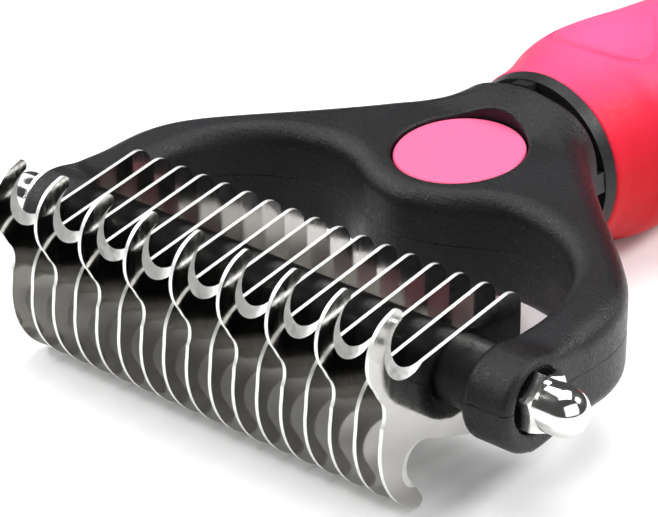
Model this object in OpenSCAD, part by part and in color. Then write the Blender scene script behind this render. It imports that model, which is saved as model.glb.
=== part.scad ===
// Undercoat rake: a row of hooked steel blades on a tie rod, held in a two-shell
// fork head, with a soft grip moulded on a core. Millimetres. The handle runs
// along +Y and the tie rod along X.

/* [Blades] */
// Number of blades, odd so that both end blades are hooked on both sides
blade_count = 17; // [9:2:17]
// Distance from one blade to the next
blade_pitch = 4.4; // [4.2:0.1:4.4]
// Blade thickness
blade_t = 0.6; // [0.5:0.1:1]
// Width of the ground cutting bevel inside the hooks
bevel_w = 1.2; // [0.8:0.1:1.3]

/* [Head] */
// Distance between the inner faces of the two bosses
boss_gap = 76.6; // [76.2:0.2:77.2]
// Length of each boss along the tie rod
boss_len = 8.2; // [8.0:0.1:8.6]
// Radius of each boss
boss_r = 6.9; // [6.8:0.1:7.4]
// Height of the head's top face above the seam, at the tie rod
upper_t = 4.8; // [4.6:0.1:5.2]
// Slope of the head's top face, in degrees
upper_slope = 6.2; // [5:0.1:7]
// Depth of the head's underside below the seam, at the tie rod
lower_t = 7.4; // [7:0.1:8]
// Slope of the head's underside, in degrees
lower_slope = 1.8; // [1:0.1:3]
// Radius of the round neck
neck_r = 13.8; // [13:0.1:14]
// Radius of the round badges
badge_r = 10; // [8:0.5:10]

/* [Fasteners] */
// Thread diameter of the tie rod's ends
rod_thread_d = 5; // [5:0.5:5]
// Side of the tie rod's square section
rod_square = 4.4; // [4.2:0.1:4.6]
// Width across flats of the acorn nuts
nut_flats = 8; // [7.6:0.1:8.2]
// Height of an acorn nut, with its dome
nut_h = 10.1; // [9:0.1:11]

/* [Handle] */
// Length of the grip sleeve
grip_len = 108; // [104:1:116]
// Greatest radius of the grip sleeve
grip_r = 17.4; // [16.8:0.1:18.2]
// Radius of the core inside the grip
core_r = 8; // [7:0.25:8.5]
// Radius of the hanging hole
hang_r = 3.5; // [3:0.25:4]
// Thickness of the butt at the hanging hole
hang_t = 16; // [14:0.5:18]

/* [Hidden] */
$fn = 72;
gap = 0.05;
eps = 0.01;
big = 200;

last = blade_count - 1;
spacer_t = blade_pitch - blade_t;
stack_half = last * blade_pitch / 2 + blade_t / 2;
boss_in = boss_gap / 2;
boss_out = boss_in + boss_len;
boss_z = -1;
spacer_r = 5;
nut_pocket_r = 5;
nut_pocket_depth = 2.7;
washer_t = 0.5;
washer_x = boss_out - nut_pocket_depth;
nut_x = washer_x + washer_t;
nut_hex_h = 4;
dome_r = 3.6;

neck_y = 56;
flange_y = 58;
flange_t = 2;
grip_y = flange_y + flange_t;
butt_y = grip_y + grip_len;
hang_y = butt_y - 10;
hub_y = 39.9;
badge_t = 2.2;
badge_sink = 0.3;
recess_clear = 0.3;
shoulder_turn = 43.8;
shoulder_edge = 17.9;
tang_w = 16;
tang_t = 8;
tang_y = 31;
stub_r = 9.5;
screw_r = 1.9;
screw_head_r = 3.6;
screw_head_h = 2.4;
lining = 1.2;

function two_digits(i) = str(i < 10 ? "0" : "", i);
function blade_name(i) = str("blade_", two_digits(i + 1));
function spacer_name(i) = str("spacer_", two_digits(i + 1));

// ---- Curves ----

// Points on an arc of a circle, from angle a0 to angle a1
function arc(c, r, a0, a1, n = 12) =
    [for (k = [0:n]) c + r * [cos(a0 + (a1 - a0) * k / n), sin(a0 + (a1 - a0) * k / n)]];

function blend_point(a, b, c, d, t) =
    (2 * b + (c - a) * t + (2 * a - 5 * b + 4 * c - d) * t * t
     + (3 * b - a - 3 * c + d) * t * t * t) / 2;

// A smooth curve through every point of a list
function smooth(p, steps = 4) =
    concat([for (i = [0:len(p) - 2]) for (k = [0:steps - 1])
        blend_point(p[max(i - 1, 0)], p[i], p[i + 1], p[min(i + 2, len(p) - 1)], k / steps)],
        [p[len(p) - 1]]);

function flip_x(p) = [for (i = [len(p) - 1:-1:0]) [-p[i].x, p[i].y]];

// ---- Blades, drawn as [y, z] ----

// Round insides of the hooks, and the round back of the upper one
low_eye = [-9.8, -9.3];
low_eye_r = 3.3;
high_eye = [-12, 10.8];
high_eye_r = 4.6;
high_back = [-15.3, 9.75];
high_back_r = 6.3;
front_y = high_back.x - high_back_r;

// Plate behind the hooks: straight edges and round rear corners
function plate_edge() = concat(
    arc([7.15, 6.6], 2.8, 100, 0, 6),
    arc([7.15, -8.6], 2.8, 0, -108, 6));

// Lower hook: its inside, its tip and its long back
function lower_hook() = concat(
    arc(low_eye, low_eye_r, 72, 218),
    arc([-11.35, -14.6], 0.8, 30, -118, 6),
    arc([-6.9, -4.5], 12.1, -118, -190));

// Upper hook: the waist below it, its back, its tip and its inside
function upper_hook() = concat(
    arc([-22, 1.35], 3.9, -30, 44, 6),
    arc(high_back, high_back_r, -140, -250, 22),
    arc([-16.05, 14.9], 1.15, 100, -30, 6),
    arc(high_eye, high_eye_r, 150, 280));

// Plain shoulder of the blades that have no upper hook
function shoulder() = arc([-11.6, -1.2], 7.1, 177, 100, 10);

// A cone that grinds the inside of a hook from its middle plane to its right face
module ground_cut(eye, r, growth) {
    translate([eye.x, eye.y, -blade_t / 4]) cylinder(h = blade_t, r1 = r, r2 = r + growth);
}

module blade(two_hooks) {
    color("silver")
    rotate([90, 0, 90])
    difference() {
        translate([0, 0, -blade_t / 2])
        linear_extrude(blade_t)
        polygon(concat(plate_edge(), lower_hook(), two_hooks ? upper_hook() : shoulder()));
        linear_extrude(2 * blade_t, center = true)
        square(rod_square + 2 * gap, center = true);
        ground_cut(low_eye + [-0.95, 0.45], 2.5, 1.6 * bevel_w);
        if (two_hooks)
            ground_cut(high_eye + [-1.1, -0.75], 3.2, 2 * bevel_w);
    }
}

// ---- Rod, spacers, washers and nuts ----

module along_x() {
    rotate([0, 90, 0]) children();
}

module spacer(length) {
    color("#202024")
    along_x()
    difference() {
        cylinder(h = length, r = spacer_r);
        translate([0, 0, length / 2])
        cube([rod_square + 2 * gap, rod_square + 2 * gap, 2 * length], center = true);
    }
}

module tie_rod() {
    square_half = washer_x - 0.3;
    thread_half = nut_x + nut_h - 3.2;
    color("lightgray")
    union() {
        cube([2 * square_half, rod_square, rod_square], center = true);
        along_x() cylinder(h = 2 * thread_half, r = rod_thread_d / 2 - gap, center = true);
    }
}

module washer() {
    color("lightgray")
    along_x()
    difference() {
        cylinder(h = washer_t, r = 4.9);
        translate([0, 0, -eps]) cylinder(h = washer_t + 2 * eps, r = rod_thread_d / 2 + 0.15);
    }
}

module acorn_nut() {
    corner = nut_flats / 2 / cos(30);
    color("gainsboro")
    along_x()
    difference() {
        union() {
            intersection() {
                rotate([0, 0, 8]) cylinder(h = nut_hex_h, r = corner, $fn = 6);
                cylinder(h = nut_hex_h + corner - 3.9, r1 = nut_hex_h + corner + 0.5, r2 = 3.9);
            }
            cylinder(h = nut_h - dome_r, r = dome_r);
            translate([0, 0, nut_h - dome_r]) sphere(r = dome_r);
        }
        translate([0, 0, -eps]) cylinder(h = nut_h - 2.6, r = rod_thread_d / 2);
    }
}

// ---- Head shells ----

// Corners of the right half of the head's outline, which curves run through:
// the tongue, the lobe and the inside of the arm, then its outside up to the neck
inner_points = [[0, 25.6], [6.7, 27.2], [10.5, 29.2], [14, 30.9], [18, 31.5], [22, 30.9],
    [26, 29.6], [29.5, 27.6], [33, 24.4], [35.7, 20], [37.2, 15], [38.1, 9],
    [boss_in + 0.3, 0]];
outer_points = [[boss_out - 0.3, 0], [boss_out - 0.1, 8], [46.5, 12.5], [46, 17.4], [44.4, 22],
    [41.4, 26.5], [37.4, 30.8], [33.2, 34.8], [26, 41.2], [19.8, 47.2], [14.9, 52.8],
    [neck_r - 0.3, neck_y - 0.4]];
left_inner = flip_x([for (i = [1:len(inner_points) - 1]) inner_points[i]]);
outline = concat(flip_x(smooth(outer_points)), smooth(concat(left_inner, inner_points)),
    smooth(outer_points));

// Half of the fork, from the seam plane up to a sloping face, its shoulders bevelled
module fork_half(t, slope) {
    difference() {
        linear_extrude(20) polygon(outline);
        on_hub(t, slope) half_space();
        for (s = [0, 1])
            mirror([s, 0, 0])
            on_hub(t, slope)
            rotate([0, 0, shoulder_turn])
            translate([shoulder_edge, 0, 0])
            rotate([0, 45, 0])
            half_space();
    }
}

module boss(side) {
    inner_round = 1.4;
    outer_round = 1.8;
    mirror([side < 0 ? 1 : 0, 0, 0])
    translate([boss_in, 0, boss_z])
    along_x()
    rotate_extrude()
    polygon(concat([[0, 0]],
        arc([boss_r - inner_round, inner_round], inner_round, -90, 0, 6),
        arc([boss_r - outer_round, boss_len - outer_round], outer_round, 0, 90, 6),
        [[0, boss_len]]));
}

module neck_solid() {
    translate([0, neck_y, 0])
    rotate([90, 0, 0])
    rotate_extrude()
    polygon([[0, 0], [neck_r, 0], [neck_r, 1.2], [neck_r - 0.9, 4], [11.5, 8], [10.4, 12], [0, 12]]);
}

module half_space() {
    translate([-big / 2, -big / 2, 0]) cube(big);
}

// Follows the sloping face of the hub above the seam
module on_hub(t, slope) {
    translate([0, hub_y, t + tan(slope) * hub_y]) rotate([slope, 0, 0]) children();
}

// The part of the head on one side of the seam, drawn above it
module half_shell(t, slope, flipped_z) {
    difference() {
        union() {
            fork_half(t, slope);
            intersection() {
                union() {
                    mirror([0, 0, flipped_z]) boss(1);
                    mirror([0, 0, flipped_z]) boss(-1);
                    neck_solid();
                }
                half_space();
            }
        }
        // Recess for the badge
        on_hub(t, slope)
        translate([0, 0, -badge_t - badge_sink]) cylinder(h = 20, r = badge_r + recess_clear);
        // Seats for the core's tang and stub
        translate([-tang_w / 2 - gap, tang_y - gap, -1])
        cube([tang_w + 2 * gap, neck_y - tang_y, tang_t / 2 + gap + 1]);
        translate([0, neck_y + eps, 0]) rotate([90, 0, 0]) cylinder(h = 7, r = stub_r + gap);
        // Square passage for the tie rod and the nut pockets
        cube([2 * boss_out + 1, rod_square + 2 * gap, rod_square + 2 * gap], center = true);
        for (s = [-1, 1])
            translate([s * (washer_x + 5), 0, 0])
            along_x() cylinder(h = 10, r = nut_pocket_r, center = true);
    }
}

module upper_shell() {
    color("#2b2b2e")
    difference() {
        half_shell(upper_t, upper_slope, 0);
        translate([0, hub_y, -eps]) cylinder(h = 5.8, r = screw_r + gap);
    }
}

module lower_shell() {
    color("#242427")
    mirror([0, 0, 1])
    difference() {
        half_shell(lower_t, lower_slope, 1);
        translate([0, hub_y, -1]) cylinder(h = 20, r = screw_r + 0.2);
    }
}

module badge() {
    color("#f05f9c")
    translate([0, 0, -badge_t - badge_sink])
    rotate_extrude()
    polygon([[0, 0], [badge_r, 0], [badge_r, badge_t - 0.5], [badge_r - 0.5, badge_t],
        [badge_r - 3, badge_t + 0.15], [0, badge_t + 0.2]]);
}

module upper_badge() {
    on_hub(upper_t, upper_slope) badge();
}

module lower_badge() {
    mirror([0, 0, 1]) on_hub(lower_t, lower_slope) badge();
}

module hub_screw() {
    head_z = tang_t / 2 + 1;
    color("silver")
    translate([0, hub_y, -head_z])
    difference() {
        union() {
            cylinder(h = head_z + 5.5, r = screw_r);
            translate([0, 0, -screw_head_h + 0.9]) cylinder(h = screw_head_h - 0.9, r = screw_head_r);
        }
        // Cross recess
        for (a = [0, 90])
            rotate([0, 0, a]) translate([0, 0, -screw_head_h + 0.9]) cube([3.6, 0.8, 2], center = true);
    }
}

// ---- Handle ----

module along_y() {
    rotate([-90, 0, 0]) children();
}

module hang_hole() {
    translate([0, hang_y, 0]) cylinder(h = 60, r = hang_r, center = true);
}

module handle_core() {
    tail_t = hang_t - 7;
    color("#26262a")
    difference() {
        union() {
            // Tang and stub inside the head
            translate([-tang_w / 2, tang_y, -tang_t / 2]) cube([tang_w, flange_y - tang_y, tang_t]);
            translate([0, neck_y - 6.8, 0]) along_y() cylinder(h = 10, r = stub_r);
            // Flange with its bevelled rim
            translate([0, flange_y, 0]) along_y()
            cylinder(h = flange_t, r1 = neck_r + 0.2, r2 = neck_r + 0.7);
            // Four ribs bridge the gap to the neck
            for (a = [-6:90:264])
                rotate([0, a, 0])
                translate([-1.6, neck_y, 0]) cube([3.2, flange_y - neck_y + eps, neck_r]);
            // Round core and flat tail inside the grip
            translate([0, grip_y - eps, 0]) along_y() cylinder(h = hang_y - 24 - grip_y, r = core_r);
            translate([0, hang_y, 0]) cylinder(h = tail_t, r = 7, center = true);
            translate([-7, hang_y - 26, -tail_t / 2]) cube([14, 26, tail_t]);
        }
        translate([0, hub_y, 0]) cylinder(h = 20, r = screw_r + 0.2, center = true);
        translate([0, hang_y, 0]) cylinder(h = 20, r = hang_r + lining, center = true);
    }
}

// Outer profile of the grip as [radius, distance from the flange]
function grip_profile() = let (l = grip_len / 108)
    concat([[neck_r + 0.8, 0]],
    smooth([[14.7, 0.6], [14.9, 3.5], [15.8, 8], [16.9, 11.5], [grip_r, 15.5], [17.1, 21],
        [16.3, 29.5], [15.6, 39 * l], [14.9, 50 * l], [14.6, 60 * l], [14.8, 72 * l], [15.3, 84 * l],
        [15.4, 92 * l], [14.6, 99 * l], [11.8, grip_len - 3.2], [7, grip_len - 0.6], [0, grip_len]], 4));

module grip_sleeve() {
    scoop_r = 32;
    tail_t = hang_t - 7;
    color("#f0447f")
    difference() {
        translate([0, grip_y, 0])
        rotate([-90, 0, 0])
        rotate_extrude()
        polygon(concat([[0, 0]], grip_profile()));
        // Space for the core
        translate([0, grip_y - eps, 0]) along_y()
        cylinder(h = hang_y - 24 - grip_y + eps, r = core_r + gap);
        difference() {
            union() {
                translate([0, hang_y, 0]) cylinder(h = tail_t + 2 * gap, r = 7 + gap, center = true);
                translate([-7 - gap, hang_y - 26, -tail_t / 2 - gap])
                cube([14 + 2 * gap, 26, tail_t + 2 * gap]);
            }
            translate([0, hang_y, 0]) cylinder(h = 20, r = hang_r + lining - gap, center = true);
        }
        // Scoops above and below the hanging hole
        for (s = [-1, 1])
            translate([0, hang_y, s * (hang_t / 2 + scoop_r)])
            along_x() cylinder(h = 60, r = scoop_r, center = true, $fn = 120);
        hang_hole();
    }
}

// ---- Placing ----

// The row frame stands on the lowest point, midway along the length
rise = grip_r;
back = -(front_y + butt_y) / 2;

module placed() {
    translate([0, back, rise]) children();
}

module end_side(side, x) {
    mirror([side < 0 ? 1 : 0, 0, 0]) translate([x, 0, 0]) children();
}

placed() upper_shell();
placed() lower_shell();
placed() upper_badge();
placed() lower_badge();
placed() hub_screw();
placed() handle_core();
placed() grip_sleeve();
placed() tie_rod();
placed() end_side(-1, stack_half) spacer(boss_in - stack_half);  // left_end_spacer
placed() end_side(1, stack_half) spacer(boss_in - stack_half);  // right_end_spacer
placed() end_side(-1, washer_x) washer();  // left_washer
placed() end_side(1, washer_x) washer();  // right_washer
placed() end_side(-1, nut_x) acorn_nut();  // left_acorn_nut
placed() end_side(1, nut_x) acorn_nut();  // right_acorn_nut
for (i = [0:last])
    placed() translate([(i - last / 2) * blade_pitch, 0, 0]) blade(i % 2 == 0);
for (i = [0:last - 1])
    placed() translate([(i - last / 2) * blade_pitch + blade_t / 2, 0, 0]) spacer(spacer_t);
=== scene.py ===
"""Undercoat rake. Shapes are worked out in millimetres from the tie rod's centre,
with X along the rod, Y toward the handle and Z up, then moved into the row frame."""
import math

import bmesh
import bpy
import numpy as np
from mathutils import Matrix, Vector


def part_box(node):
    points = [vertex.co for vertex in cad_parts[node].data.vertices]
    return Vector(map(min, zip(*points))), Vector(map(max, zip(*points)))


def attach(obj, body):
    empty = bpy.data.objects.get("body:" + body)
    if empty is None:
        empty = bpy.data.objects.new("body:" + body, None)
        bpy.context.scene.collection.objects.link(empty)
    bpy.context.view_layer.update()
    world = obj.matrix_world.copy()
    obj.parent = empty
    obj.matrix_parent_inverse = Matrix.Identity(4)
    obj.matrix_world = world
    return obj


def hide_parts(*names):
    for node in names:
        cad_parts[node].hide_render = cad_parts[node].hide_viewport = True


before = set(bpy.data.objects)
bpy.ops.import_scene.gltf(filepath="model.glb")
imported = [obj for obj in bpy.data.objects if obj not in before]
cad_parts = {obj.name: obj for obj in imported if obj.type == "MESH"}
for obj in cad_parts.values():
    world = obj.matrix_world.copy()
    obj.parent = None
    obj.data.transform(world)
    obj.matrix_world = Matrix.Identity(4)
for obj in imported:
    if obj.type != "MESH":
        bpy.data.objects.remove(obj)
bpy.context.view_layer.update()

rod_low, rod_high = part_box("tie_rod")
ROD = np.array((rod_low + rod_high) / 2)

# ---- Sizes, in millimetres ----

HUB_Y = 39.9
NECK_Y = 56.0
NECK_R = 13.8
GRIP_Y = 60.0
GRIP_LEN = 108.0
HANG_Y = GRIP_Y + GRIP_LEN - 10
HANG_R = 3.5
HANG_T = 16.0
BADGE_R = 10.0
BADGE_T = 2.2
BADGE_SINK = 0.3
TOP_T, TOP_SLOPE = 4.8, math.radians(6.2)
LOW_T, LOW_SLOPE = 7.4, math.radians(1.8)
BOSS_IN, BOSS_OUT, BOSS_R, BOSS_Z = 38.3, 46.5, 6.9, -1.0
POCKET_R, POCKET_X = 4.8, 43.8
# The groove along the seam of the head, and how far its walls stop from the seam
GROOVE_DEPTH, GROOVE_HALF, SEAM_GAP = 0.1, 0.09, 0.01


# ---- Making meshes ----


def new_object(name, mesh):
    piece = bpy.data.objects.new(name, mesh)
    bpy.context.scene.collection.objects.link(piece)
    return piece


def put(name, verts, faces, materials, node, marks=None, sharp=35):
    """A mesh piece that stands for a CAD node. marks gives each face's material."""
    mesh = bpy.data.meshes.new(name)
    mesh.from_pydata((np.asarray(verts) * 0.001 + ROD).tolist(), [], [list(map(int, f)) for f in faces])
    mesh.update()
    for m in materials:
        mesh.materials.append(m)
    if marks is not None:
        mesh.polygons.foreach_set("material_index", np.asarray(marks, np.int32))
    mesh.polygons.foreach_set("use_smooth", np.ones(len(mesh.polygons), bool))
    if sharp:
        mesh.set_sharp_from_angle(angle=math.radians(sharp))
    piece = new_object(name, mesh)
    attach(piece, "root")
    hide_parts(node)
    return piece


def bevel(piece, width, segments=2, angle=35):
    mod = piece.modifiers.new("edges", "BEVEL")
    mod.width = width * 0.001
    mod.segments = segments
    mod.limit_method = "ANGLE"
    mod.angle_limit = math.radians(angle)
    return mod


def lathe(profile, steps=96):
    """Turns [radius, height] points round Z. Points on the axis close the ends."""
    verts, rings, faces = [], [], []
    for r, z in profile:
        if r < 1e-6:
            rings.append([len(verts)] * steps)
            verts.append((0, 0, z))
        else:
            rings.append([len(verts) + i for i in range(steps)])
            a = np.arange(steps) * 2 * math.pi / steps
            verts.extend(np.stack([r * np.cos(a), r * np.sin(a), np.full(steps, z)], 1).tolist())
    for low, high in zip(rings[:-1], rings[1:]):
        for i in range(steps):
            j = (i + 1) % steps
            quad = [low[i], low[j], high[j], high[i]]
            corners = [v for k, v in enumerate(quad) if v not in quad[:k]]
            if len(corners) > 2:
                faces.append(corners)
    return np.array(verts), faces


def arc(centre, radius, start, end, steps):
    a = np.radians(np.linspace(start, end, steps + 1))
    return np.stack([centre[0] + radius * np.cos(a), centre[1] + radius * np.sin(a)], 1)


def smooth(points, steps=6):
    """A smooth curve through every point."""
    p = np.asarray(points, float)
    out = []
    for i in range(len(p) - 1):
        a, b, c, d = p[max(i - 1, 0)], p[i], p[i + 1], p[min(i + 2, len(p) - 1)]
        for k in range(steps):
            t = k / steps
            out.append((2 * b + (c - a) * t + (2 * a - 5 * b + 4 * c - d) * t**2
                        + (3 * b - a - 3 * c + d) * t**3) / 2)
    return np.array([*out, p[-1]])


# ---- Solids as distance fields ----


def side_of(line, x, y):
    """Signed distance to an open line in the plane, negative on its left."""
    best = np.full(np.broadcast(x, y).shape, 1e9)
    side = np.zeros_like(best)
    for (ax, ay), (bx, by) in zip(line[:-1], line[1:]):
        ux, uy = bx - ax, by - ay
        px, py = x - ax, y - ay
        t = np.clip((px * ux + py * uy) / (ux * ux + uy * uy), 0, 1)
        d = np.hypot(px - t * ux, py - t * uy)
        near = d < best
        best = np.where(near, d, best)
        side = np.where(near, px * uy - py * ux, side)
    return best * np.sign(side)


def ramp(a, b, t):
    t = np.clip((t - a) / (b - a), 0, 1)
    return t * t * (3 - 2 * t)


def both(a, b, r):
    """What lies in both solids, with the edge between them rounded."""
    u, v = np.maximum(a + r, 0), np.maximum(b + r, 0)
    return np.minimum(np.maximum(a, b), -r) + np.hypot(u, v)


def join(a, b, k):
    """Either solid, with a fillet of about k between them."""
    h = np.clip(0.5 + 0.5 * (b - a) / k, 0, 1)
    return b + (a - b) * h - k * h * (1 - h)


def gradient(field, p, e=0.02):
    return np.stack([
        (field(*(p + e * u).T) - field(*(p - e * u).T)) / (2 * e) for u in np.eye(3)
    ], 1)


def settle(field, p, hold=None, rounds=3):
    """Moves points onto the surface. Points in hold keep their Z."""
    for _ in range(rounds):
        g = gradient(field, p)
        if hold is not None:
            g[hold, 2] = 0
        move = g * (field(*p.T) / np.maximum((g * g).sum(1), 0.25))[:, None]
        p = p - np.clip(move, -0.3, 0.3)
    return p


def net(field, low, high, step):
    """A mesh of quads round the region where the field is negative."""
    n = [int(round((b - a) / step)) + 1 for a, b in zip(low, high)]
    x, y, z = (low[i] + step * np.arange(n[i]) for i in range(3))
    f = np.broadcast_to(field(x[:, None, None], y[None, :, None], z[None, None, :]), n)
    inside = f < 0
    corners = [(i, j, k) for i in (0, 1) for j in (0, 1) for k in (0, 1)]
    total = sum(
        inside[i : n[0] - 1 + i, j : n[1] - 1 + j, k : n[2] - 1 + k].astype(np.uint8)
        for i, j, k in corners
    )
    cells = np.argwhere((total > 0) & (total < 8))
    number = np.full([m - 1 for m in n], -1)
    number[tuple(cells.T)] = np.arange(len(cells))
    found, hits = np.zeros((len(cells), 3)), np.zeros(len(cells))
    unit = np.eye(3, dtype=int)
    for axis in range(3):
        for corner in corners:
            if corner[axis]:
                continue
            a = cells + np.array(corner)
            fa, fb = f[tuple(a.T)], f[tuple((a + unit[axis]).T)]
            cut = (fa < 0) != (fb < 0)
            t = fa[cut] / (fa[cut] - fb[cut])
            found[cut] += a[cut] + t[:, None] * unit[axis]
            hits[cut] += 1
    verts = np.array(low) + step * found / hits[:, None]
    quads = []
    for axis in range(3):
        u, v = (axis + 1) % 3, (axis + 2) % 3
        first = [slice(None)] * 3
        second = [slice(None)] * 3
        first[axis], second[axis] = slice(0, -1), slice(1, None)
        edges = np.argwhere(inside[tuple(first)] != inside[tuple(second)])
        ring = [edges - unit[u] - unit[v], edges - unit[v], edges, edges - unit[u]]
        quad = np.stack([number[tuple(c.T)] for c in ring], 1)
        back = ~inside[tuple(edges.T)]
        quad[back] = quad[back, ::-1]
        quads.append(quad)
    return verts, np.concatenate(quads), cells


def field_normals(mesh, normals, plain=None):
    """Shades a mesh by the field's own slope, except on faces marked plain."""
    loops = np.zeros(len(mesh.loops), np.int32)
    mesh.loops.foreach_get("vertex_index", loops)
    out = normals[loops]
    if plain is not None:
        for poly in mesh.polygons:
            if plain[poly.index]:
                out[poly.loop_start : poly.loop_start + poly.loop_total] = poly.normal
    mesh.normals_split_custom_set(out.tolist())


# ---- Head ----

INNER = [(0, 25.6), (6.7, 27.2), (10.5, 29.2), (14, 30.9), (18, 31.5), (22, 30.9), (26, 29.6),
         (29.5, 27.6), (33, 24.4), (35.7, 20), (37.2, 15), (38.1, 9), (BOSS_IN, 2)]
OUTER = [(BOSS_OUT, 4), (BOSS_OUT, 9), (46.5, 12.5), (46, 17.4), (44.4, 22), (41.4, 26.5),
         (37.4, 30.8), (33.2, 34.8), (26, 41.2), (19.8, 47.2), (14.9, 52.8), (13.4, 57)]
inner_line = np.concatenate([smooth([(-10.5, 29.2), (-6.7, 27.2), *INNER]), [(BOSS_IN, -30)]])
outer_line = np.concatenate([[(BOSS_OUT, -30)], smooth(OUTER), [(13, 80)]])
neck_line = np.array([(40, 9.4), (44, 10.2), (46, 10.8), (48, 11.4), (50, 12.1), (52, 12.8),
                      (54, 13.4), (56, NECK_R), (60, NECK_R)])
neck_curve = smooth(neck_line, 8)


def tilted(y, z, t, slope):
    """Distances along and above a face of the hub."""
    dy, dz = y - HUB_Y, z - (t + math.tan(slope) * HUB_Y)
    return dy * math.cos(slope) + dz * math.sin(slope), dz * math.cos(slope) - dy * math.sin(slope)


def badge_recess(x, y, z, t, slope):
    along, above = tilted(y, z, t, slope)
    return np.maximum(np.hypot(x, along) - BADGE_R - 0.3, -above - BADGE_T - BADGE_SINK)


def head_field(x, y, z):
    ax = np.abs(x)
    outside = side_of(outer_line, ax, y)
    inside = side_of(inner_line, ax, y)
    rise = 1.9 * ramp(47, 57, y)
    top = (z - TOP_T - math.tan(TOP_SLOPE) * y - rise) * math.cos(TOP_SLOPE)
    low = (-z - LOW_T - math.tan(LOW_SLOPE) * y) * math.cos(LOW_SLOPE)
    slab = np.maximum(np.maximum(top, low), -y)
    side = join(slab, np.hypot(y, z - BOSS_Z) - BOSS_R, 1.6)
    inner_r = 1.5 + 1.5 * ramp(3, 14, y)
    outer_r = 1.3 + 1.9 * ramp(3, 12, y) + ramp(20, 36, y) + 3.8 * ramp(46, 56, y)
    outer_r = np.where(z < 0, np.minimum(outer_r, 6), outer_r)
    body = np.maximum(both(outside, side, outer_r), both(inside, side, inner_r))
    neck = np.maximum((np.hypot(x, z) - np.interp(y, *neck_curve.T)) * 0.85, 42 - y)
    body = join(body, neck, 1.4)
    body = both(body, y - NECK_Y, 0.5)
    pocket = np.maximum(np.hypot(y, z) - POCKET_R, POCKET_X - ax)
    passage = np.maximum(np.maximum(np.abs(y), np.abs(z)) - 2.25, 30 - ax)
    seat = np.maximum(np.maximum(ax - 8.05, np.abs(z) - 4.05), 31 - y)
    stub = np.maximum(np.hypot(x, z) - 9.55, 49 - y)
    screw = np.maximum(np.hypot(x, y - HUB_Y) - 2.1, np.abs(z) - 6)
    body = both(body, -pocket, 0.5)
    body = both(body, -badge_recess(x, y, z, TOP_T, TOP_SLOPE), 0.4)
    body = both(body, -badge_recess(x, y, -z, LOW_T, LOW_SLOPE), 0.4)
    hollow = np.minimum(np.minimum(passage, seat), np.minimum(stub, screw))
    return np.maximum(body, -hollow)


def split_head(materials):
    """The head as two shells that meet in a fine groove at Z = 0."""
    step = 0.36
    # Cells below the seam, whose own layer of cells is centred on Z = 0
    k = max(26, math.ceil(11.5 / step - 0.5))
    low = (-48.0, -8.2, -(k + 0.5) * step)
    count = (math.ceil(96 / step), math.ceil(65.5 / step), k + math.ceil(15.5 / step))
    high = tuple(a + n * step for a, n in zip(low, count))
    verts, quads, cells = net(head_field, low, high, step)
    seam = cells[:, 2] == k
    verts[seam, 2] = 0
    verts = settle(head_field, verts, hold=seam)
    normals = gradient(head_field, verts)
    normals /= np.linalg.norm(normals, axis=1)[:, None]
    layer = cells[quads, 2]
    halves = ("upper_shell", layer.min(1) >= k, 1), ("lower_shell", layer.max(1) <= k, -1)
    for name, keep, sign in halves:
        part = quads[keep]
        used, flat = np.unique(part, return_inverse=True)
        part = flat.reshape(part.shape)
        points, slopes, edge = verts[used], normals[used], seam[used]
        bm = bmesh.new()
        handles = [bm.verts.new(p) for p in points]
        for quad in part:
            bm.faces.new([handles[i] for i in quad])
        bm.verts.index_update()
        rim = [e for e in bm.edges if e.is_boundary]
        grown = bmesh.ops.extrude_edge_only(bm, edges=rim)["geom"]
        new_verts = [g for g in grown if isinstance(g, bmesh.types.BMVert)]
        new_edges = [g for g in grown if isinstance(g, bmesh.types.BMEdge)]
        groove = {g for g in grown if isinstance(g, bmesh.types.BMFace)}
        # The new ring lies on its old one, so each takes its nearest neighbour's slope
        rim_ids = np.where(edge)[0]
        rim_pos = points[rim_ids]
        extra = []
        for v in new_verts:
            i = rim_ids[np.argmin(((rim_pos - np.array(v.co)) ** 2).sum(1))]
            flat_slope = slopes[i][:2] / max(np.linalg.norm(slopes[i][:2]), 1e-6)
            v.co.x -= GROOVE_DEPTH * flat_slope[0]
            v.co.y -= GROOVE_DEPTH * flat_slope[1]
            v.co.z = SEAM_GAP * sign
            extra.append(slopes[i])
        for i in rim_ids:
            handles[i].co.z = GROOVE_HALF * sign
        ring = set(new_verts)
        top = [e for e in new_edges if e.verts[0] in ring and e.verts[1] in ring]
        caps = bmesh.ops.triangle_fill(bm, edges=top, use_beauty=True, use_dissolve=False)["geom"]
        groove |= {g for g in caps if isinstance(g, bmesh.types.BMFace)}
        bmesh.ops.recalc_face_normals(bm, faces=bm.faces[:])
        bm.faces.index_update()
        plain = np.zeros(len(bm.faces), bool)
        plain[[f.index for f in bm.faces if f in groove]] = True
        mesh = bpy.data.meshes.new(name)
        bm.to_mesh(mesh)
        bm.free()
        mesh.transform(Matrix.Translation(Vector(ROD)) @ Matrix.Scale(0.001, 4))
        mesh.polygons.foreach_set("use_smooth", np.ones(len(mesh.polygons), bool))
        for m in materials:
            mesh.materials.append(m)
        field_normals(mesh, np.concatenate([slopes, np.array(extra)]), plain)
        piece = new_object("head_" + name, mesh)
        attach(piece, "root")
        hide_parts(name)


# ---- Grip ----

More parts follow.
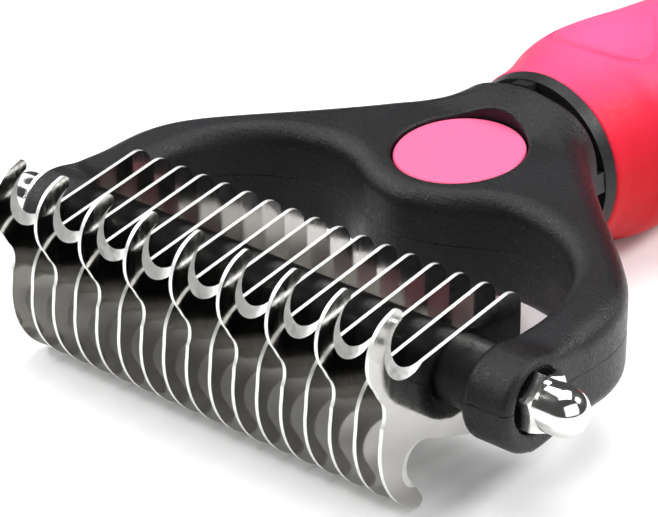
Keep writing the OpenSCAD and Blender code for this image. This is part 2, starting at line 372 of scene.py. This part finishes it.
GRIP = [(14.4, 0), (14.7, 0.7), (14.9, 3.5), (15.8, 8), (16.9, 11.5), (17.35, 15.5), (17.1, 21),
        (16.3, 29.5), (15.6, 39), (14.9, 50), (14.6, 60), (14.8, 72), (15.3, 84), (15.4, 92),
        (14.6, 99), (11.8, 104.8), (7, 107.4), (0, 108)]
grip_line = np.concatenate([[(0, 0)], [(14.1, 0)], smooth(GRIP, 5)])
LEAF = [(0, 9.1), (3.3, 9.5), (6.2, 10.6), (8.4, 12.8), (9, 15.4), (8, 18.4), (5.6, 21.8),
        (3.2, 24.8), (1.5, 26.7), (0, 27.3)]
leaf_line = smooth([(-3.3, 9.5), *LEAF, (-1.5, 26.7)])


def grip_field(x, y, z):
    s = y - GRIP_Y
    rho = np.hypot(x, z)
    body = side_of(grip_line, rho, s)
    around = np.abs(np.arctan2(x, z)) * 16.5
    leaf = side_of(leaf_line, around, s)
    near = (z > 0) & (s > 5) & (s < 32)
    groove = 0.42 * np.exp(-((leaf / 0.5) ** 2))
    body = body + np.where(near, groove, 0)
    scoop = 32 - np.hypot(y - HANG_Y, np.abs(z) - HANG_T / 2 - 32)
    body = both(body, scoop, 1.6)
    body = both(body, HANG_R - np.hypot(x, y - HANG_Y), 0.8)
    return body


def make_grip(material):
    step = 0.55
    low = (-18.3, GRIP_Y - 1.03, -18.3)
    high = (18.3, GRIP_Y + GRIP_LEN + 1.4, 18.3)
    verts, quads, _ = net(grip_field, low, high, step)
    verts = settle(grip_field, verts)
    normals = gradient(grip_field, verts)
    normals /= np.linalg.norm(normals, axis=1)[:, None]
    piece = put("grip", verts, quads, [material], "grip_sleeve", sharp=0)
    field_normals(piece.data, normals)


# ---- Blades, drawn as [y, z] ----

# Each hook is a run of arcs: its inside, tip and back, with a waist between the two hooks
LOW_EYE, HIGH_EYE, HIGH_BACK = (-9.8, -9.3), (-12, 10.8), (-15.3, 9.75)
LOWER_HOOK = [arc(LOW_EYE, 3.3, 72, 218, 36), arc((-11.35, -14.6), 0.8, 30, -118, 14),
              arc((-6.9, -4.5), 12.1, -118, -190, 30)]
UPPER_HOOK = [arc((-22, 1.35), 3.9, -30, 44, 14), arc(HIGH_BACK, 6.28, -140, -250, 44),
              arc((-16.05, 14.9), 1.15, 100, -30, 14), arc(HIGH_EYE, 4.6, 150, 280, 36)]
SHOULDER = [arc((-11.6, -1.2), 7.1, 177, 100, 24)]
# Circles on a hook's left and right face, between which its inside is ground
UPPER_GRIND = ((-12.4, 10.3), 4.0), ((-13.85, 9.8), 4.6)
LOWER_GRIND = ((-10.3, -9.0), 2.9), ((-11.2, -8.7), 3.6)


def blade_outline(hooked):
    plate = [arc((7.15, 6.6), 2.8, 100, 0, 10), arc((7.15, -8.6), 2.8, 0, -108, 10)]
    return np.concatenate([*plate, *LOWER_HOOK, *(UPPER_HOOK if hooked else SHOULDER)])


def plate_mesh(name, outline, thickness, x):
    """A flat plate with the rod's square hole."""
    bm = bmesh.new()
    edges = []
    hole = np.array([(-2.25, -2.25), (2.25, -2.25), (2.25, 2.25), (-2.25, 2.25)])
    for loop in (outline, hole):
        ring = [bm.verts.new((x - thickness / 2, y, z)) for y, z in loop]
        edges += [bm.edges.new((a, b)) for a, b in zip(ring, ring[1:] + ring[:1])]
    bmesh.ops.triangle_fill(bm, edges=edges, use_beauty=True, use_dissolve=False)
    grown = bmesh.ops.extrude_face_region(bm, geom=bm.faces[:])["geom"]
    moved = [g for g in grown if isinstance(g, bmesh.types.BMVert)]
    bmesh.ops.translate(bm, verts=moved, vec=(thickness, 0, 0))
    bmesh.ops.recalc_face_normals(bm, faces=bm.faces[:])
    mesh = bpy.data.meshes.new(name)
    bm.to_mesh(mesh)
    bm.free()
    return mesh


def cut(mesh, tool_verts, tool_faces, tool_material, operation="DIFFERENCE"):
    """The mesh after a Boolean with a tool, whose faces bring their own material."""
    tool_mesh = bpy.data.meshes.new("tool")
    tool_mesh.from_pydata([list(v) for v in tool_verts], [], [list(f) for f in tool_faces])
    for m in mesh.materials:
        tool_mesh.materials.append(m)
    tool_mesh.polygons.foreach_set(
        "material_index", np.full(len(tool_mesh.polygons), tool_material, np.int32))
    a, b = new_object("cut_a", mesh), new_object("cut_b", tool_mesh)
    mod = a.modifiers.new("cut", "BOOLEAN")
    mod.operation, mod.solver, mod.object = operation, "EXACT", b
    bpy.context.view_layer.update()
    done = bpy.data.meshes.new_from_object(a.evaluated_get(bpy.context.evaluated_depsgraph_get()))
    bpy.data.objects.remove(a)
    bpy.data.objects.remove(b)
    return done


def slanted_tube(left, right, x, thickness):
    """A tool through one circle on a blade's left face and another on its right."""
    rings = []
    for at in (-0.2, 1.2):
        y, z = (a + (b - a) * at for a, b in zip(left[0], right[0]))
        r = left[1] + (right[1] - left[1]) * at
        a = np.arange(96) * 2 * math.pi / 96
        across = np.full(96, x + (at - 0.5) * thickness)
        rings.append(np.stack([across, y + r * np.cos(a), z + r * np.sin(a)], 1))
    sides = [(j, (j + 1) % 96, 96 + (j + 1) % 96, 96 + j) for j in range(96)]
    return np.concatenate(rings), [*sides, list(range(95, -1, -1)), list(range(96, 192))]


def make_blades(face, ground):
    for i in range(1, 18):
        node = f"blade_{i:02d}"
        low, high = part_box(node)
        thickness = (high.x - low.x) * 1000
        x = (low.x + high.x) * 500 - ROD[0] * 1000
        hooked = i % 2 == 1
        mesh = plate_mesh(node, blade_outline(hooked), thickness, x)
        mesh.materials.append(face)
        mesh.materials.append(ground)
        for left, right in (LOWER_GRIND, UPPER_GRIND)[: 2 if hooked else 1]:
            mesh = cut(mesh, *slanted_tube(left, right, x, thickness), 1)
        # The thin edge all round is ground too
        for poly in mesh.polygons:
            if abs(poly.normal.x) < 0.2:
                poly.material_index = 1
        mesh.transform(Matrix.Translation(Vector(ROD)) @ Matrix.Scale(0.001, 4))
        piece = new_object("steel_" + node, mesh)
        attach(piece, "root")
        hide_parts(node)
        bevel(piece, 0.07, 1, 30)


# ---- Badges, nuts ----


def make_badges(material):
    r = BADGE_R
    edge = [(r - 0.55 + 0.55 * math.cos(a), BADGE_T - 0.55 + 0.55 * math.sin(a))
            for a in np.linspace(0, math.pi / 2, 8)]
    dome = [(t, BADGE_T + 0.16 * (1 - (t / (r - 0.55)) ** 2)) for t in np.linspace(r - 1.2, 0, 12)]
    verts, faces = lathe([(0, 0), (r - 0.1, 0), (r, 0.1), *edge, *dome], 128)
    verts[:, 2] -= BADGE_T + BADGE_SINK
    places = ("upper_badge", TOP_T, TOP_SLOPE, 1), ("lower_badge", LOW_T, LOW_SLOPE, -1)
    for name, t, slope, sign in places:
        y = HUB_Y + verts[:, 1] * math.cos(slope) - verts[:, 2] * math.sin(slope)
        z = t + math.tan(slope) * HUB_Y + verts[:, 1] * math.sin(slope) + verts[:, 2] * math.cos(slope)
        points = np.stack([verts[:, 0], y, sign * z], 1)
        turned = faces if sign > 0 else [f[::-1] for f in faces]
        put("disc_" + name, points, turned, [material], name, sharp=50)


def make_nuts(material):
    """Acorn nut: chamfered hexagon, neck and dome, turned along the rod."""
    corner = 4 / math.cos(math.radians(30))
    mesh = bpy.data.meshes.new("nut")
    a = np.radians(np.arange(6) * 60 + 8)
    ring = np.stack([corner * np.cos(a), corner * np.sin(a)], 1)
    verts = [(*p, z) for z in (0, 4) for p in ring]
    sides = [(i, (i + 1) % 6, 6 + (i + 1) % 6, 6 + i) for i in range(6)]
    mesh.from_pydata(verts, [], [*sides, (5, 4, 3, 2, 1, 0), tuple(range(6, 12))])
    mesh.materials.append(material)
    cone = lathe([(0, -0.5), (corner - 0.2, -0.5), (corner + 0.3, 0.7), (corner + 0.9, 3.1),
                  (3.95, 4.12), (0, 4.12)])
    mesh = cut(mesh, *cone, 0, "INTERSECT")
    cap = [(3.55 * math.cos(t), 6.5 + 3.6 * math.sin(t)) for t in np.linspace(0, math.pi / 2, 24)]
    dome = lathe([(0, 1), (3.6, 1), (3.6, 5.2), (3.58, 6.1), *cap[:-1], (0, cap[-1][1])])
    mesh = cut(mesh, *dome, 0, "UNION")
    verts = np.array([v.co for v in mesh.vertices])
    faces = [list(p.vertices) for p in mesh.polygons]
    for side, node in ((1, "right_acorn_nut"), (-1, "left_acorn_nut")):
        low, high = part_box(node)
        base = (low.x if side > 0 else high.x) * 1000 - ROD[0] * 1000
        points = np.stack([base + side * verts[:, 2], verts[:, 1], -verts[:, 0]], 1)
        turned = faces if side > 0 else [f[::-1] for f in faces]
        piece = put("chrome_" + node, points, turned, [material], node, sharp=28)
        bevel(piece, 0.12, 2, 28)


# ---- Materials ----


class Paint:
    """A node material, built up from object-space textures."""

    def __init__(self, name, **values):
        self.material = bpy.data.materials.new(name)
        self.material.use_nodes = True
        self.tree = self.material.node_tree
        self.shader = self.tree.nodes["Principled BSDF"]
        self.where = self.add("ShaderNodeTexCoord").outputs["Object"]
        self.set(**values)

    def add(self, kind, **settings):
        node = self.tree.nodes.new(kind)
        for key, value in settings.items():
            setattr(node, key, value)
        return node

    def set(self, **values):
        for key, value in values.items():
            self.shader.inputs[key.replace("_", " ")].default_value = value

    def link(self, out, to):
        self.tree.links.new(out, to)

    def noise(self, scale, detail=2.0, stretch=(1, 1, 1), rough=0.5):
        mapping = self.add("ShaderNodeMapping")
        mapping.inputs["Scale"].default_value = stretch
        self.link(self.where, mapping.inputs["Vector"])
        node = self.add("ShaderNodeTexNoise")
        node.inputs["Scale"].default_value = scale
        node.inputs["Detail"].default_value = detail
        node.inputs["Roughness"].default_value = rough
        self.link(mapping.outputs["Vector"], node.inputs["Vector"])
        return node.outputs["Fac"]

    def spread(self, source, low, high, start=0.3, end=0.7):
        node = self.add("ShaderNodeMapRange")
        for key, value in (("From Min", start), ("From Max", end), ("To Min", low), ("To Max", high)):
            node.inputs[key].default_value = value
        self.link(source, node.inputs["Value"])
        return node.outputs["Result"]

    def colours(self, source, stops):
        node = self.add("ShaderNodeValToRGB")
        ramp_ = node.color_ramp
        while len(ramp_.elements) < len(stops):
            ramp_.elements.new(0.5)
        for element, (at, colour) in zip(ramp_.elements, stops):
            element.position = at
            element.color = (*colour, 1)
        self.link(source, node.inputs["Fac"])
        return node.outputs["Color"]

    def bump(self, source, height, strength=1.0, before=None):
        node = self.add("ShaderNodeBump")
        node.inputs["Strength"].default_value = strength
        node.inputs["Distance"].default_value = height
        self.link(source, node.inputs["Height"])
        if before is not None:
            self.link(before, node.inputs["Normal"])
        self.link(node.outputs["Normal"], self.shader.inputs["Normal"])
        return node.outputs["Normal"]

    def edges(self):
        """Bright on worn convex edges."""
        return self.add("ShaderNodeNewGeometry").outputs["Pointiness"]


def moulded_black(name, base, roughness, grain):
    p = Paint(name, Specular_IOR_Level=0.3)
    lift = [tuple(c * k for c in base) for k in (0.7, 1.0, 1.5)]
    p.link(p.colours(p.noise(70, 4), [(0.3, lift[0]), (0.5, lift[1]), (0.75, lift[2])]),
           p.shader.inputs["Base Color"])
    p.link(p.spread(p.noise(1500, 3), roughness - 0.1, roughness + 0.1), p.shader.inputs["Roughness"])
    soft = p.bump(p.noise(600, 2), grain, 0.7)
    p.bump(p.noise(2800, 3, rough=0.7), grain * 2.2, 1.0, soft)
    return p.material


def pink_with_painted_shade(name, painted_shade_colour, base, low, high, roughness):
    """Pink rubber with painted shade: a deep shaded colour at height low fades to a paler lit one at
    high, so it is darker towards the bottom.
    """
    p = Paint(name, Specular_IOR_Level=0.15)
    height = p.add("ShaderNodeSeparateXYZ")
    p.link(p.where, height.inputs["Vector"])
    # Painted shade: the colour follows object height Z, deepest at low and palest at high.
    painted_shade_fade = p.spread(height.outputs["Z"], 0, 1, low, high)
    wave = p.add("ShaderNodeMath", operation="MULTIPLY_ADD")
    p.link(p.noise(55, 4), wave.inputs[0])
    wave.inputs[1].default_value = 0.16
    p.link(painted_shade_fade, wave.inputs[2])
    middle = tuple((a * b) ** 0.5 for a, b in zip(painted_shade_colour, base))
    p.link(p.colours(wave.outputs["Value"], [(0.08, painted_shade_colour), (0.55, middle), (1.0, base)]),
           p.shader.inputs["Base Color"])
    p.link(p.spread(p.noise(900, 3), roughness - 0.05, roughness + 0.06), p.shader.inputs["Roughness"])
    p.bump(p.noise(3200, 2), 0.000012, 0.6)
    return p.material


def polished_steel():
    p = Paint("blade_face", Metallic=1.0)
    p.link(p.colours(p.noise(140, 4), [(0.3, (0.49, 0.48, 0.46)), (0.7, (0.57, 0.56, 0.54))]),
           p.shader.inputs["Base Color"])
    p.link(p.spread(p.noise(260, 5, (1, 6, 1)), 0.045, 0.13), p.shader.inputs["Roughness"])
    p.bump(p.noise(700, 5, (1, 1, 14)), 0.0000016, 0.5)
    return p.material


def ground_steel():
    p = Paint("blade_ground", Metallic=1.0)
    p.link(p.colours(p.noise(600, 3), [(0.3, (0.84, 0.84, 0.82)), (0.7, (0.95, 0.95, 0.93))]),
           p.shader.inputs["Base Color"])
    p.link(p.spread(p.noise(800, 4, (8, 1, 1)), 0.42, 0.6), p.shader.inputs["Roughness"])
    p.bump(p.noise(2200, 4, (6, 1, 1)), 0.000006, 0.6)
    return p.material


def bright_chrome():
    p = Paint("nut_chrome", Metallic=1.0)
    p.link(p.colours(p.noise(300, 3), [(0.3, (0.8, 0.8, 0.78)), (0.7, (0.88, 0.88, 0.86))]),
           p.shader.inputs["Base Color"])
    p.link(p.spread(p.noise(500, 4), 0.06, 0.16), p.shader.inputs["Roughness"])
    p.bump(p.noise(420, 2), 0.00001, 0.3)
    return p.material


def plain_steel(name):
    p = Paint(name, Metallic=1.0)
    p.link(p.colours(p.noise(250, 4), [(0.3, (0.5, 0.5, 0.49)), (0.7, (0.66, 0.66, 0.64))]),
           p.shader.inputs["Base Color"])
    p.link(p.spread(p.noise(900, 4, (0.2, 4, 4)), 0.25, 0.45), p.shader.inputs["Roughness"])
    p.bump(p.noise(1800, 4, (0.2, 3, 3)), 0.000005, 0.6)
    return p.material


shell_black = moulded_black("shell_black", (0.0070, 0.0070, 0.0084), 0.33, 0.00006)
core_black = moulded_black("core_black", (0.010, 0.010, 0.011), 0.4, 0.00002)
spacer_black = moulded_black("spacer_black", (0.007, 0.007, 0.008), 0.5, 0.00002)
# The grip carries painted shade: deep red up to just above the rod's height, fading to pale pink 20 mm
# above it.
grip_pink = pink_with_painted_shade("grip_pink", (0.45, 0.0015, 0.007), (0.93, 0.1, 0.27),
                      ROD[2] + 0.001, ROD[2] + 0.02, 0.5)
# The badges carry a slight painted shade: darker below the rod's height, so the lower badge is a little
# deeper than the upper.
badge_pink = pink_with_painted_shade("badge_pink", (0.85, 0.05, 0.16), (0.93, 0.13, 0.27), -0.1, ROD[2], 0.4)
blade_face, blade_ground, chrome = polished_steel(), ground_steel(), bright_chrome()
steel = plain_steel("plain_steel")

# ---- Making the pieces ----

split_head([shell_black])
make_grip(grip_pink)
make_blades(blade_face, blade_ground)
make_badges(badge_pink)
make_nuts(chrome)

carried = {"handle_core": core_black, "tie_rod": steel, "hub_screw": steel,
           "left_washer": steel, "right_washer": steel,
           "left_end_spacer": spacer_black, "right_end_spacer": spacer_black,
           **{f"spacer_{i:02d}": spacer_black for i in range(1, 17)}}
for node, material in carried.items():
    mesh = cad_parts[node].data
    mesh.materials.clear()
    mesh.materials.append(material)
bevel(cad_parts["handle_core"], 0.25, 2, 30)

# ---- Floor, camera and light ----


def floor_material():
    p = Paint("floor_paper", Roughness=0.9, Specular_IOR_Level=0.2)
    p.link(p.colours(p.noise(12, 3), [(0.3, (0.86, 0.86, 0.86)), (0.7, (0.88, 0.88, 0.88))]),
           p.shader.inputs["Base Color"])
    return p.material


# The floor runs just under the hook tips in front and meets the thick of the grip behind
front, behind = Vector((0, -11, -15.4)), Vector((0, 79, -17.02))
tilt = math.atan2(behind.z - front.z, behind.y - front.y)
floor_mesh = bpy.data.meshes.new("floor")
floor_mesh.from_pydata([(-2, -2, 0), (2, -2, 0), (2, 2, 0), (-2, 2, 0)], [], [(0, 1, 2, 3)])
floor_mesh.materials.append(floor_material())
floor = new_object("floor", floor_mesh)
floor.rotation_euler = (tilt, 0, 0)
floor.location = Vector(ROD) + front * 0.001 + Vector((0, 0, -0.0003))

camera = new_object("camera", bpy.data.cameras.new("camera"))
camera.data.sensor_width = 36
camera.data.lens = 3057.4 * 36 / 658
right = Vector((0.74762, 0.66411, -0.00495))
up = Vector((-0.29333, 0.33689, 0.89468))
back = right.cross(up)
camera.matrix_world = Matrix.Translation(Vector(ROD) + Vector((0.261286, -0.282013, 0.197634))) @ \
    Matrix((right, up, back)).transposed().to_4x4()
bpy.context.scene.camera = camera

world = bpy.data.worlds.new("studio")
world.use_nodes = True
sky = world.node_tree
seen = sky.nodes.new("ShaderNodeLightPath")
base = sky.nodes["Background"]
base.inputs["Color"].default_value = (1, 1, 1, 1)
base.inputs["Strength"].default_value = 0.07
for ray, strength in (("Is Diffuse Ray", 0.36), ("Is Camera Ray", 1.0)):
    tone = sky.nodes.new("ShaderNodeBackground")
    tone.inputs["Color"].default_value = (1, 1, 1, 1)
    tone.inputs["Strength"].default_value = strength
    mix = sky.nodes.new("ShaderNodeMixShader")
    sky.links.new(seen.outputs[ray], mix.inputs["Fac"])
    sky.links.new(base.outputs[0], mix.inputs[1])
    sky.links.new(tone.outputs[0], mix.inputs[2])
    base = mix
sky.links.new(base.outputs[0], sky.nodes["World Output"].inputs["Surface"])
bpy.context.scene.world = world
bpy.context.scene.view_settings.view_transform = "Standard"


def softbox(name, place, size, power):
    """A rectangular lamp that faces the frame's origin."""
    data = bpy.data.lights.new(name, "AREA")
    data.shape, data.size, data.size_y = "RECTANGLE", *size
    data.energy = power
    lamp = new_object(name, data)
    lamp.location = place
    lamp.rotation_euler = (-Vector(place)).to_track_quat("-Z", "Y").to_euler()


softbox("key", (-0.1, 0.1, 0.8), (0.7, 0.7), 5.2)
softbox("front", (-0.54, -0.4, 0.57), (0.2, 0.2), 3.2)
softbox("side", (0.75, -0.25, 0.42), (1.0, 0.7), 3)
softbox("left", (-0.85, 0, 0.38), (0.9, 0.6), 2.5)
softbox("rim", (0.42, 0.39, 0.54), (0.2, 0.2), 4.5)
